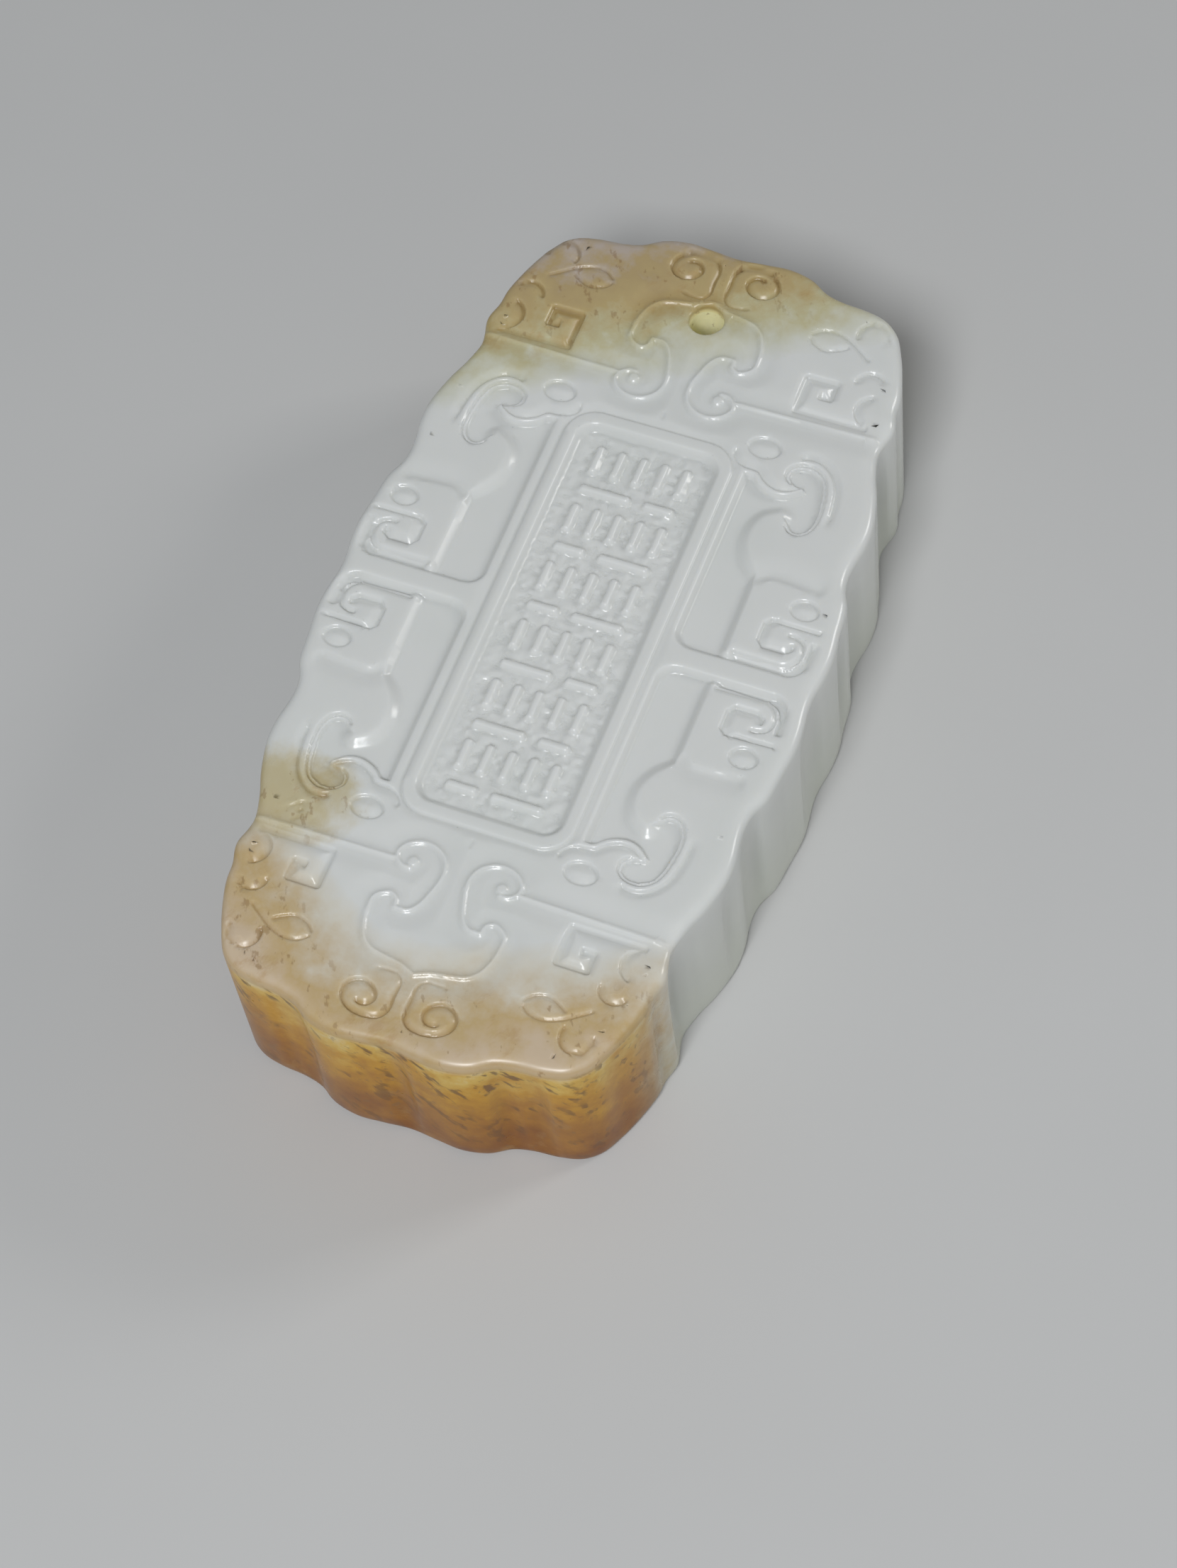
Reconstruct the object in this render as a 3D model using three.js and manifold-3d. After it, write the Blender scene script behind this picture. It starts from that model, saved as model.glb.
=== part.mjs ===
// A carved plaque pendant of pale nephrite: one stone, about 58 by 31 by 12.5 mm, lying on its back.
// Millimetres. X runs across the plaque, Y along it towards the hole for the cord, Z up from the back.
// The carving is drawn once, in one quarter of the face, and repeated in the other three by mirroring.
import * as THREE from 'three';
import Module from 'manifold-3d';
import { mergeVertices } from 'three/addons/utils/BufferGeometryUtils.js';

// Driving dimensions
const halfWidth = 15.4;
const halfLength = 29.1;
const thickness = 12.5;
const faceEdgeRound = 0.9;
const backEdgeRound = 0.6;
const holeDiameter = 2.2;
const holeFromMiddle = 23.3;
const holeCountersink = 0.25;

// The carved design sits a little off the middle of the hand-shaped blank
const carvingShift = new THREE.Vector2(-0.25, 0.35);

// Depths below the polished face
const panelDepth = 0.65;
const strokeTopDepth = 0.15;
const sideDepth = 0.45;
const lineDepth = 0.3;
const keyDepth = 0.32;
const frameLineDepth = 0.14;
const backLineDepth = 0.25;
const backPanelDepth = 0.35;

// Widths of the engraver's cuts
const fineLine = 0.32;
const broadLine = 0.5;
const keyLine = 0.62;

// The sunk panel on the axis, its raised frame and the bar between the side panels
const panelHalfWidth = 4.8;
const panelHalfLength = 14.05;
const panelCorner = 1.4;
const frameWidth = 0.65;
const barHalfWidth = 0.62;
const sidePanelInner = 6.3;

// Rows of strokes in the panel: blocks of dashes and short upright reeds
const strokeWidth = 0.5;
const strokeGap = 0.45;
const strokeBlocks = 4;
const blockGap = 0.85;
const strokeFieldHalfWidth = 3.1;
const strokeFieldHalfLength = 12.6;
const reedsAcross = 7;
const longDashShare = 0.62;

// Sampling of curves
const outlinePoints = 128;
const lineStep = 1.15;
const aboveFace = 1;

const jade = new THREE.MeshStandardMaterial({ color: 0xd9dcd4, roughness: 0.22, metalness: 0 });

const wasm = await Module();
wasm.setup();

// Small helpers for points in a quarter: u is the distance from the long axis, v from the short axis
const point = (u, v) => new THREE.Vector2(u, v);
const points = (...pairs) => pairs.map(([u, v]) => point(u, v));

function smooth(controls, step = lineStep) {
  const curve = new THREE.SplineCurve(controls);
  return curve.getSpacedPoints(Math.max(2, Math.round(curve.getLength() / step)));
}

function arc(centre, radius, fromDegrees, toDegrees, squash = 1, step = lineStep) {
  const from = THREE.MathUtils.degToRad(fromDegrees);
  const to = THREE.MathUtils.degToRad(toDegrees);
  const count = Math.max(4, Math.round(Math.abs(to - from) * radius / step));
  return Array.from({ length: count + 1 }, (_, i) => {
    const angle = from + (to - from) * i / count;
    return point(centre.x + radius * Math.cos(angle), centre.y + squash * radius * Math.sin(angle));
  });
}

function spiral(centre, outerRadius, innerRadius, fromDegrees, toDegrees, step = lineStep) {
  const from = THREE.MathUtils.degToRad(fromDegrees);
  const to = THREE.MathUtils.degToRad(toDegrees);
  const mean = (outerRadius + innerRadius) / 2;
  const count = Math.max(6, Math.round(Math.abs(to - from) * mean / (0.7 * step)));
  return Array.from({ length: count + 1 }, (_, i) => {
    const share = i / count;
    const radius = outerRadius + (innerRadius - outerRadius) * share;
    const angle = from + (to - from) * share;
    return point(centre.x + radius * Math.cos(angle), centre.y + radius * Math.sin(angle));
  });
}

function roundedRectangle(halfU, halfV, radius, cornerSteps = 5) {
  const corners = [[1, 1, 0], [-1, 1, 90], [-1, -1, 180], [1, -1, 270]];
  return corners.flatMap(([signU, signV, start]) => {
    const centre = point(signU * (halfU - radius), signV * (halfV - radius));
    return Array.from({ length: cornerSteps + 1 }, (_, i) => {
      const angle = THREE.MathUtils.degToRad(start + 90 * i / cornerSteps);
      return point(centre.x + radius * Math.cos(angle), centre.y + radius * Math.sin(angle));
    });
  });
}

// Solids
function solid(geometry) {
  geometry.deleteAttribute('normal');
  geometry.deleteAttribute('uv');
  const merged = mergeVertices(geometry, 1e-4);
  return new wasm.Manifold(new wasm.Mesh({
    numProp: 3,
    vertProperties: new Float32Array(merged.attributes.position.array),
    triVerts: new Uint32Array(merged.index.array),
  }));
}

function prism(outline, bottom, top) {
  const geometry = new THREE.ExtrudeGeometry(new THREE.Shape(outline), {
    depth: top - bottom, bevelEnabled: false,
  });
  geometry.translate(0, 0, bottom);
  return solid(geometry);
}

const joined = (solids) => solids.reduce((all, next) => all.add(next));

// A line of even width along a row of points, with square ends
function ribbon(path, width) {
  const sides = path.map((here, i) => {
    const before = path[Math.max(0, i - 1)];
    const after = path[Math.min(path.length - 1, i + 1)];
    const along = after.clone().sub(before).normalize();
    let reach = width / 2;
    if (i > 0 && i < path.length - 1) {
      const turn = after.clone().sub(here).normalize().dot(here.clone().sub(before).normalize());
      reach /= Math.max(0.6, Math.sqrt((1 + turn) / 2));
    }
    const across = point(-along.y, along.x).multiplyScalar(reach);
    return [here.clone().add(across), here.clone().sub(across)];
  });
  return [...sides.map((side) => side[0]), ...sides.map((side) => side[1]).reverse()];
}

// The lobed outline: lobes and notches of one quarter, from the end's middle to the side's middle
const quarterOutline = points(
  [0, 28.85], [1.7, 29.0], [3.4, halfLength], [5.0, 28.75], [6.2, 28.05], [7.4, 27.75],
  [9.0, 27.6], [10.35, 27.25], [11.35, 26.45], [12.1, 25.05], [12.7, 23.5], [13.1, 22.05],
  [13.2, 20.95], [13.5, 19.7], [13.25, 18.55], [13.15, 17.8], [13.5, 16.3], [14.1, 14.7],
  [14.6, 12.6], [14.6, 11.2], [14.4, 9.9], [14.35, 8.9], [14.5, 8.0], [14.95, 6.9],
  [15.2, 5.0], [halfWidth, 3.2], [15.35, 1.9], [15.2, 0.8], [15.15, 0],
);

function wholeOutline() {
  const upper = quarterOutline;
  const lower = upper.slice(0, -1).reverse().map((p) => point(p.x, -p.y));
  const right = [...upper, ...lower];
  const left = right.slice(1, -1).reverse().map((p) => point(-p.x, p.y));
  const curve = new THREE.CatmullRomCurve3(
    [...right, ...left].map((p) => new THREE.Vector3(p.x, p.y, 0)), true, 'centripetal',
  );
  return curve.getSpacedPoints(outlinePoints).slice(0, -1).map((p) => point(p.x, p.y)).reverse();
}

function insetOutline(outline, inset) {
  return outline.map((here, i) => {
    const before = outline[(i + outline.length - 1) % outline.length];
    const after = outline[(i + 1) % outline.length];
    const along = after.clone().sub(before).normalize();
    return point(here.x - along.y * inset, here.y + along.x * inset);
  });
}

// The blank: the outline stacked in rings, with both rims rounded
function blank(outline) {
  const levels = [];
  for (const degrees of [0, 50, 90]) {
    const angle = THREE.MathUtils.degToRad(degrees);
    levels.push([backEdgeRound * (1 - Math.sin(angle)), backEdgeRound * (1 - Math.cos(angle))]);
  }
  for (const degrees of [0, 32, 62, 90]) {
    const angle = THREE.MathUtils.degToRad(degrees);
    levels.push([faceEdgeRound * (1 - Math.cos(angle)),
      thickness - faceEdgeRound * (1 - Math.sin(angle))]);
  }
  const count = outline.length;
  const positions = levels.flatMap(([inset, z]) => insetOutline(outline, inset)
    .flatMap((p) => [p.x, p.y, z]));
  const index = [];
  for (let level = 0; level < levels.length - 1; level += 1) {
    for (let i = 0; i < count; i += 1) {
      const a = level * count + i;
      const b = level * count + (i + 1) % count;
      index.push(a, b, b + count, a, b + count, a + count);
    }
  }
  const cap = THREE.ShapeUtils.triangulateShape(outline, []);
  const last = (levels.length - 1) * count;
  for (const [a, b, c] of cap) {
    index.push(a, c, b, last + a, last + b, last + c);
  }
  const geometry = new THREE.BufferGeometry();
  geometry.setAttribute('position', new THREE.Float32BufferAttribute(positions, 3));
  geometry.setIndex(index);
  return new wasm.Manifold(new wasm.Mesh({
    numProp: 3,
    vertProperties: new Float32Array(geometry.attributes.position.array),
    triVerts: new Uint32Array(index),
  }));
}

// Motifs of one quarter, each a list of { path, width, depth } cuts
const cut = (path, width = fineLine, depth = lineDepth) => ({ path, width, depth });

function cloudHead() {
  const tipToHook = smooth(points([0, 24.6], [0.9, 24.2], [2.9, 23.75], [3.95, 22.5],
    [4.1, 21.0], [3.6, 20.2], [2.9, 20.3], [2.7, 20.95]));
  const cuspToScroll = smooth(points([2.7, 20.95], [1.8, 20.8], [1.15, 19.7], [0.8, 18.3],
    [1.15, 17.0], [2.5, 16.45], [3.75, 17.2]));
  const scroll = spiral(point(2.85, 17.55), 0.95, 0.45, -10, 250);
  return [cut(tipToHook, broadLine), cut(cuspToScroll, broadLine), cut(scroll)];
}

function keyScroll() {
  const base = points([3.95, 17.95], [8, 18.1], [12.4, 18.1]);
  const key = points([12.2, 18.65], [7.55, 18.65], [7.55, 21.2], [9.35, 21.2], [9.35, 20.1],
    [8.45, 20.1]);
  return [cut(base), cut(key, keyLine, keyDepth)];
}

function rimScales() {
  return [
    cut(arc(point(12.15, 19.95), 1.1, 255, 105)),
    cut(arc(point(11.35, 21.7), 0.95, 190, 25)),
  ];
}

function leafEye() {
  const brow = smooth(points([6.5, 24.2], [7.1, 23.65], [7.9, 23.45], [8.7, 23.7], [9.3, 24.15]));
  const lidAndTail = smooth(points([6.5, 24.2], [7.2, 24.75], [8.1, 24.85], [9.1, 24.5],
    [10.0, 23.9], [10.8, 23.35]));
  return [cut(brow), cut(lidAndTail), cut(arc(point(10.35, 25.25), 1.0, 330, 110))];
}

function endVolute() {
  const bar = points([0.5, 25.0], [0.5, 27.1]);
  const turn = smooth(points([0.5, 27.1], [0.9, 27.7], [1.9, 27.9]));
  const volute = spiral(point(2.4, 26.8), 1.2, 0.35, 115, -320);
  return [cut(bar), cut(turn), cut(volute, 0.4)];
}

function cloudCurl() {
  const back = smooth(points([5.2, 15.2], [5.25, 14.3], [6.0, 13.85], [6.95, 13.75], [7.6, 13.15],
    [8.5, 12.9], [9.3, 13.1], [9.95, 13.65]));
  return [cut(back), cut(arc(point(6.65, 15.45), 0.6, 0, 330), 0.5)];
}

// The ridge of the big curl: a cut runs along its inner and its outer side
function bigCurl() {
  const inner = smooth(points([8.75, 14.3], [9.2, 14.95], [10.1, 15.05], [10.85, 14.55],
    [11.3, 13.6], [11.5, 12.3], [11.5, 11.1], [11.2, 10.35], [10.6, 10.1], [10.0, 10.35],
    [9.5, 11.2]));
  const outer = smooth(points([9.3, 15.6], [10.2, 15.65], [11.2, 15.1], [11.9, 14.1],
    [12.2, 12.9], [12.3, 11.4]));
  return [cut(inner), cut(outer)];
}

function slabScroll() {
  const lobe = smooth(points([10.4, 1.3], [13.0, 1.3], [13.65, 1.7], [13.9, 2.4], [13.7, 3.1],
    [13.1, 3.4]));
  const hook = points([14.3, 4.05], [11.4, 4.05], [11.1, 3.8], [11.1, 2.6], [11.5, 2.25],
    [12.7, 2.25], [13.1, 2.65]);
  const eye = arc(point(13.0, 5.3), 0.8, 0, 345, 0.75);
  return [cut(lobe), cut(hook, broadLine), cut(eye, broadLine)];
}

// The recessed ground of a side panel: it leaves the slab and the haunch standing
function sideGround() {
  const haunch = smooth(points([9.55, 7.1], [8.6, 8.1], [8.15, 9.4], [8.5, 10.7], [9.3, 11.25]));
  const insideCurl = smooth(points([9.3, 11.25], [9.9, 10.45], [10.7, 10.2], [11.3, 11.0],
    [11.3, 12.6], [10.9, 13.9], [10.2, 14.3]));
  const cloud = smooth(points([10.2, 14.3], [9.3, 13.1], [8.5, 12.85], [7.6, 13.15],
    [6.9, 13.7], [sidePanelInner, 13.75]));
  const rimCorner = arc(point(13.1, barHalfWidth + 1.3), 1.3, -90, 0);
  return [
    point(sidePanelInner, barHalfWidth + 1.2), point(sidePanelInner + 0.35, barHalfWidth + 0.35),
    point(sidePanelInner + 1.2, barHalfWidth), ...rimCorner, point(14.4, 3.2),
    point(13.95, 3.2), point(13.85, 2.0), point(13.1, 1.3), point(9.55, 1.3),
    ...haunch, ...insideCurl.slice(1), ...cloud.slice(1),
  ];
}

function strokeRectangles() {
  const rectangle = (u, v, wide, high) => points([u, v], [u + wide, v], [u + wide, v + high],
    [u, v + high]);
  const width = 2 * strokeFieldHalfWidth;
  const height = (2 * strokeFieldHalfLength - (strokeBlocks - 1) * blockGap) / strokeBlocks;
  const reedHeight = (height - 2 * strokeWidth - 3 * strokeGap) / 2;
  const reedPitch = (width - strokeWidth) / (reedsAcross - 1);
  const longDash = (width - strokeGap) * longDashShare;
  const shortDash = width - strokeGap - longDash;
  const strokes = [];
  for (let block = 0; block < strokeBlocks; block += 1) {
    let v = -strokeFieldHalfLength + block * (height + blockGap);
    for (let row = 0; row < 2; row += 1) {
      const first = (block + row) % 2 ? longDash : shortDash;
      const left = -strokeFieldHalfWidth;
      strokes.push(rectangle(left, v, first, strokeWidth));
      strokes.push(rectangle(left + first + strokeGap, v, width - first - strokeGap, strokeWidth));
      v += strokeWidth + strokeGap;
      for (let reed = 0; reed < reedsAcross; reed += 1) {
        strokes.push(rectangle(left + reed * reedPitch, v, strokeWidth, reedHeight));
      }
      v += reedHeight + strokeGap;
    }
  }
  return strokes;
}

// From a quarter to the four corners of the carving
function inCorners(path) {
  return [[1, 1], [-1, 1], [-1, -1], [1, -1]].map(([signU, signV]) => {
    const placed = path.map((p) => point(signU * p.x, signV * p.y).add(carvingShift));
    return signU * signV > 0 ? placed : placed.reverse();
  });
}

function frontCarving() {
  const sink = (outline, depth) => prism(outline, thickness - depth, thickness + aboveFace);
  const panel = roundedRectangle(panelHalfWidth, panelHalfLength, panelCorner)
    .map((p) => p.add(carvingShift));
  const strokes = joined(strokeRectangles().map((rectangle) => prism(
    rectangle.map((p) => p.add(carvingShift)), thickness - 2 * panelDepth,
    thickness - strokeTopDepth,
  )));
  const cuts = [sink(panel, panelDepth).subtract(strokes)];
  for (const ground of inCorners(sideGround())) {
    cuts.push(sink(ground, sideDepth));
  }
  const motifs = [cloudHead, keyScroll, rimScales, leafEye, endVolute, cloudCurl, bigCurl,
    slabScroll];
  for (const { path, width, depth } of motifs.flatMap((motif) => motif())) {
    for (const placed of inCorners(path)) {
      cuts.push(sink(ribbon(placed, width), depth));
    }
  }
  return joined(cuts);
}

function frameLine() {
  const outside = roundedRectangle(panelHalfWidth + frameWidth, panelHalfLength + frameWidth + 0.2,
    panelCorner + frameWidth).map((p) => p.add(carvingShift));
  const inside = insetOutline(outside, fineLine);
  return prism(outside, thickness - frameLineDepth, thickness + aboveFace)
    .subtract(prism(inside, thickness - 1, thickness + 2 * aboveFace));
}

// The back is plainer: a line inside the rim and a plain sunk panel, around the same hole
function backCarving(outline) {
  const borderOutside = insetOutline(outline, 2.0);
  const borderInside = insetOutline(outline, 2.0 + broadLine);
  const border = prism(borderOutside, -aboveFace, backLineDepth)
    .subtract(prism(borderInside, -2 * aboveFace, 1));
  const panel = roundedRectangle(panelHalfWidth, panelHalfLength, panelCorner)
    .map((p) => p.add(carvingShift));
  return border.add(prism(panel, -aboveFace, backPanelDepth));
}

function cordHole() {
  const radius = holeDiameter / 2;
  const profile = points([0, -aboveFace], [radius + holeCountersink + aboveFace, -aboveFace],
    [radius, holeCountersink], [radius, thickness - holeCountersink],
    [radius + holeCountersink + aboveFace, thickness + aboveFace], [0, thickness + aboveFace]);
  const geometry = new THREE.LatheGeometry(profile, 24);
  geometry.rotateX(Math.PI / 2);
  geometry.translate(carvingShift.x, carvingShift.y + holeFromMiddle, 0);
  return solid(geometry);
}

function pendantGeometry() {
  const outline = wholeOutline();
  const carved = blank(outline).subtract(frontCarving()).subtract(frameLine())
    .subtract(backCarving(outline)).subtract(cordHole());
  const mesh = carved.getMesh();
  const geometry = new THREE.BufferGeometry();
  geometry.setAttribute('position', new THREE.Float32BufferAttribute(mesh.vertProperties, 3));
  geometry.setIndex(new THREE.Uint32BufferAttribute(mesh.triVerts, 1));
  return geometry;
}

const pendant = new THREE.Mesh(pendantGeometry(), jade);
pendant.name = 'jade_plaque';

const model = new THREE.Group();
model.add(pendant);

export default model;
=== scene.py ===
# %% [markdown]
# # A carved jade plaque pendant
#
# The object is one thick plaque of pale nephrite, 58 by 31 by 12.5 mm, with a lobed edge. Its face is
# carved: a sunk panel with a raised frame on the axis, four recessed side panels with scrollwork, and
# clouds, keys and leaves at both ends. A hole for a cord goes through it near one end.
#
# The solid model of the plaque is loaded first and stays as it is. In the picture one finer mesh of the
# same stone takes its place. Most of its lines are cut steep on one side and sloping on the other, and a
# few are left standing as raised threads.

import math

import bpy
import numpy as np
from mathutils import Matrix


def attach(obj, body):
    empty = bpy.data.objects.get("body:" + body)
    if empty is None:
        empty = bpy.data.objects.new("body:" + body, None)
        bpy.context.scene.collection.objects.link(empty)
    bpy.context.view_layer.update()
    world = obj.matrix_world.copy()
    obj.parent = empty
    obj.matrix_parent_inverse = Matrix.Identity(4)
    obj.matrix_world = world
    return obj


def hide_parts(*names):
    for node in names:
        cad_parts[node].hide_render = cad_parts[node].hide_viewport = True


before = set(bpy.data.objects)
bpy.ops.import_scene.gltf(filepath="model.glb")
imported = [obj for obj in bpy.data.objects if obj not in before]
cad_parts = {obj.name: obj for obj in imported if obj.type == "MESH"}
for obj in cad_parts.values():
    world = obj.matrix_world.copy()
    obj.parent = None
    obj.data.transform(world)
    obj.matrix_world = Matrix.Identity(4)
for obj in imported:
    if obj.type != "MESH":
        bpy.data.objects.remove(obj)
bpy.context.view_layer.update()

# %% [markdown]
# ## The camera
#
# The plaque was photographed from above its right-hand lower corner, with a long lens, so its far end
# looks only a little smaller than its near end. The place, turn and lens below were fitted to mirrored
# points of the carving.

# %% Place the camera
MM = 0.001
CAMERA_PLACE_MM = (58.806, -104.365, 209.696)
CAMERA_TURN_DEGREES = (28.6363, 4.5753, 21.3459)

bpy.ops.object.camera_add(location=[MM * value for value in CAMERA_PLACE_MM],
                          rotation=[math.radians(value) for value in CAMERA_TURN_DEGREES])
camera = bpy.context.object
camera.data.sensor_fit = "VERTICAL"
camera.data.sensor_height = 36
camera.data.lens = 88.57
camera.data.clip_start = 0.01
bpy.context.scene.camera = camera
print("camera", tuple(round(value, 3) for value in camera.location))

# %% [markdown]
# ## Floor and light
#
# A pale plain floor stands for a studio table. Polished jade is told by its highlights, and both lamps
# are placed so that the flat face doesn't reflect them to the camera. Slopes that face the near side
# reflect the front lamp, and slopes that face the right the back one, as thin bright lines. They are
# small because a lamp's size sets how wide such a line is.

# %% Make the floor
bpy.ops.object.select_all(action="DESELECT")
bpy.ops.mesh.primitive_plane_add(size=3)
floor = bpy.context.object
floor.name = "floor"
print("floor", tuple(floor.dimensions))

# %% Make the lamps


def lamp(name, place, size, power, colour):
    """A square soft lamp of a size in metres that faces the origin."""
    bpy.ops.object.light_add(type="AREA", location=place)
    made = bpy.context.object
    made.name = name
    made.data.shape = "SQUARE"
    made.data.size = size
    made.data.energy = power
    made.data.color = colour
    made.rotation_euler = (-made.location).to_track_quat("-Z", "Y").to_euler()


lamp("lamp_front", (0.04, -0.28, 0.42), 0.15, 1.55, (0.97, 0.985, 1.0))
lamp("lamp_back", (0.32, 0.28, 0.23), 0.11, 0.45, (1.0, 0.99, 0.97))

studio = bpy.data.worlds.new("studio")
studio.use_nodes = True
background = studio.node_tree.nodes["Background"].inputs
background["Color"].default_value = (0.92, 0.96, 1.0, 1)
background["Strength"].default_value = 0.19
bpy.context.scene.world = studio
bpy.context.scene.view_settings.view_transform = "Standard"

# %% [markdown]
# ## The sizes of the plaque
#
# These are the solid's own sizes, in millimetres. The mesh is shaped in millimetres too and brought to
# metres at the end, because Blender's mesh tools lose accuracy on very small cells.

# %% State the sizes
THICKNESS = 12.5
HALF_WIDTH = 15.4
HALF_LENGTH = 29.1
SHIFT = np.array([-0.25, 0.35])
HOLE_RADIUS = 1.1
HOLE_CENTRE = SHIFT + np.array([0.0, 23.3])
PANEL_HALF = np.array([4.8, 14.05])
PANEL_CORNER = 1.4
PANEL_DEPTH = 0.52
SIDE_DEPTH = 0.46

QUARTER_OUTLINE = [
    (0, 28.85), (1.7, 29.0), (3.4, HALF_LENGTH), (5.0, 28.75), (6.2, 28.05), (7.4, 27.75),
    (9.0, 27.6), (10.35, 27.25), (11.35, 26.45), (12.1, 25.05), (12.7, 23.5), (13.1, 22.05),
    (13.2, 20.95), (13.5, 19.7), (13.25, 18.55), (13.15, 17.8), (13.5, 16.3), (14.1, 14.7),
    (14.6, 12.6), (14.6, 11.2), (14.4, 9.9), (14.35, 8.9), (14.5, 8.0), (14.95, 6.9),
    (15.2, 5.0), (HALF_WIDTH, 3.2), (15.35, 1.9), (15.2, 0.8), (15.15, 0),
]
print("one quarter of the outline has", len(QUARTER_OUTLINE), "lobe and notch points")

# %% [markdown]
# ## Curves through points
#
# A cutter's line has no corners unless one is meant. Each line is therefore given by a few points, and a
# curve is drawn through them that doesn't swing out between points that lie close together. That is a
# centripetal Catmull-Rom curve, worked out here span by span.

# %% Draw smooth curves
STEP = 0.12


def smooth(controls, closed=False):
    """Points about a step apart, on a smooth curve through the control points."""
    given = np.array(controls, float)
    if closed:
        row = np.vstack([given[-1:], given, given[:2]])
    else:
        row = np.vstack([2 * given[:1] - given[1:2], given, 2 * given[-1:] - given[-2:-1]])
    drawn = []
    for p0, p1, p2, p3 in zip(row, row[1:], row[2:], row[3:]):
        k0, k1, k2 = (max(np.linalg.norm(b - a) ** 0.5, 1e-6)
                      for a, b in ((p0, p1), (p1, p2), (p2, p3)))
        out = ((p1 - p0) / k0 - (p2 - p0) / (k0 + k1) + (p2 - p1) / k1) * k1
        into = ((p2 - p1) / k1 - (p3 - p1) / (k1 + k2) + (p3 - p2) / k2) * k1
        count = max(2, int(round(np.linalg.norm(p2 - p1) / STEP)))
        t = (np.arange(count) / count)[:, None]
        drawn.append(p1 * (2 * t**3 - 3 * t**2 + 1) + out * (t**3 - 2 * t**2 + t)
                     + p2 * (3 * t**2 - 2 * t**3) + into * (t**3 - t**2))
    drawn.append(given[:1] if closed else given[-1:])
    return np.vstack(drawn)


def turned_to(angle):
    """Points of the unit circle at angles in radians."""
    return np.column_stack([np.cos(angle), np.sin(angle)])


def arc(centre, radius, start, end, squash=1.0):
    """Points along part of a circle or ellipse, from one angle in degrees to another."""
    count = max(6, int(abs(math.radians(end - start)) * radius / STEP))
    angle = np.radians(np.linspace(start, end, count + 1))
    return np.array(centre) + turned_to(angle) * (radius, radius * squash)


def rounded_box(half, corner):
    """The closed outline of a rectangle with round corners, centred on the origin."""
    rows = [arc((sx * (half[0] - corner), sy * (half[1] - corner)), corner, turn, turn + 90)
            for sx, sy, turn in ((1, 1, 0), (-1, 1, 90), (-1, -1, 180), (1, -1, 270))]
    return straight(np.vstack(rows + [rows[0][:1]]))


def straight(corners):
    """Points about a step apart along straight lines from corner to corner."""
    corners = np.array(corners, float)
    rows = []
    for a, b in zip(corners, corners[1:]):
        count = max(1, int(round(np.linalg.norm(b - a) / STEP)))
        rows.append(a + (b - a) * (np.arange(count) / count)[:, None])
    return np.vstack(rows + [corners[-1:]])


def mirrored_round(quarter):
    """The closed outline made from one quarter, end middle to side middle, by mirroring it."""
    upper = np.array(quarter, float)
    right = np.vstack([upper, upper[-2::-1] * (1, -1)])
    return np.vstack([right, right[-2:0:-1] * (-1, 1)])[::-1]


def walked_along(path):
    """How far along a path each of its points lies."""
    return np.concatenate([[0], np.cumsum(np.linalg.norm(np.diff(path, axis=0), axis=1))])


def in_parts(points, size=6000):
    """Slices that keep the distance tables small."""
    return (slice(start, start + size) for start in range(0, len(points), size))


outline = smooth(mirrored_round(QUARTER_OUTLINE), closed=True)
print("outline", len(outline), "points, from", outline.min(0), "to", outline.max(0))

# %% [markdown]
# ## The edge as a rule
#
# The rims and the wall follow the outline at small distances inside it. A function that gives the point
# at any share of the way round, moved inwards by any distance, lets one ring of vertices after another
# be put in its place. Far from the edge, on the back, the direction inwards is evened out, so that the
# line cut there stays clear of itself in the notches.

# %% Follow the outline
EDGE_SAMPLES = 4096
CALM_FROM, CALM_TO = 0.6, 2.0

travelled = walked_along(outline)
edge_share = np.arange(EDGE_SAMPLES) / EDGE_SAMPLES
edge_points = np.column_stack([np.interp(edge_share * travelled[-1], travelled, outline[:, axis])
                               for axis in (0, 1)])
edge_along = np.roll(edge_points, -3, 0) - np.roll(edge_points, 3, 0)
edge_along /= np.linalg.norm(edge_along, axis=1)[:, None]
edge_inward = np.column_stack([-edge_along[:, 1], edge_along[:, 0]])


def evened(rows, reach):
    """Each row averaged with its neighbours round the closed outline, within a reach in mm."""
    width = int(reach / travelled[-1] * EDGE_SAMPLES)
    weights = np.hanning(2 * width + 3)[1:-1]
    weights /= weights.sum()
    padded = np.vstack([rows[-width:], rows, rows[:width]])
    return np.column_stack([np.convolve(padded[:, axis], weights, "valid") for axis in (0, 1)])


calm_inward = evened(edge_inward, 5.0)
calm_inward /= np.linalg.norm(calm_inward, axis=1)[:, None]


def edge_at(share, inset):
    """The point at a share of the way round the outline, moved inwards."""
    calm = np.clip((inset - CALM_FROM) / (CALM_TO - CALM_FROM), 0, 1)
    inward = edge_inward * (1 - calm) + calm_inward * calm
    rows = edge_points + inward * inset
    return np.column_stack([np.interp(share % 1, edge_share, rows[:, axis], period=1)
                            for axis in (0, 1)])


def nearest_share(points):
    """For each point, the share of the outline nearest to it and the distance inside it."""
    share = np.zeros(len(points))
    inside = np.zeros(len(points))
    for part in in_parts(points, 2000):
        gap = points[part, None, :] - edge_points[None, ::4, :]
        best = (gap**2).sum(2).argmin(1)
        row = np.arange(len(best))
        share[part] = edge_share[::4][best]
        inside[part] = (gap[row, best] * edge_inward[::4][best]).sum(1)
    return share, inside


print("round the edge it is", round(float(travelled[-1]), 1), "mm")

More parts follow.
